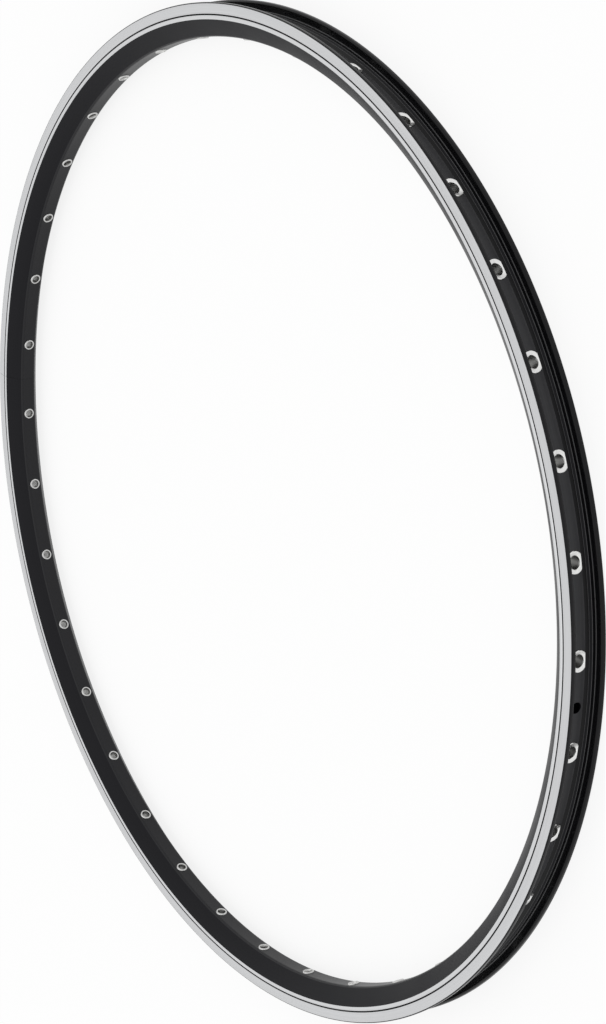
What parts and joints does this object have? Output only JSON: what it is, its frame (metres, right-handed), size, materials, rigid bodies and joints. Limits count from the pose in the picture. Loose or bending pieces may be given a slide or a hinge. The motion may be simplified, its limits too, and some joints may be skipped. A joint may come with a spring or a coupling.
{
  "type": "bicycle rim",
  "caption": "Hollow double-wall bicycle rim with hooked flanges, eyeleted spoke holes, a valve hole and machined brake tracks.",
  "frame": {"origin": "centre of the wheel, in the rim's middle plane", "axes": "+Z along the wheel's axis, +X from the centre through the valve hole; the rim lies flat"},
  "size_m": [0.6339, 0.634, 0.0234],
  "materials": {
    "black_anodised": "satin black anodised, with bright machined brake tracks",
    "stainless": "bright drawn stainless steel",
    "plain_aluminium": "plain extruded aluminium"
  },
  "bodies": {
    "root": {"rim_hoop": "black_anodised", "spoke_eyelets": "stainless", "eyelet_sockets": "stainless", "joint_sleeve": "plain_aluminium"}
  },
  "joints": []
}
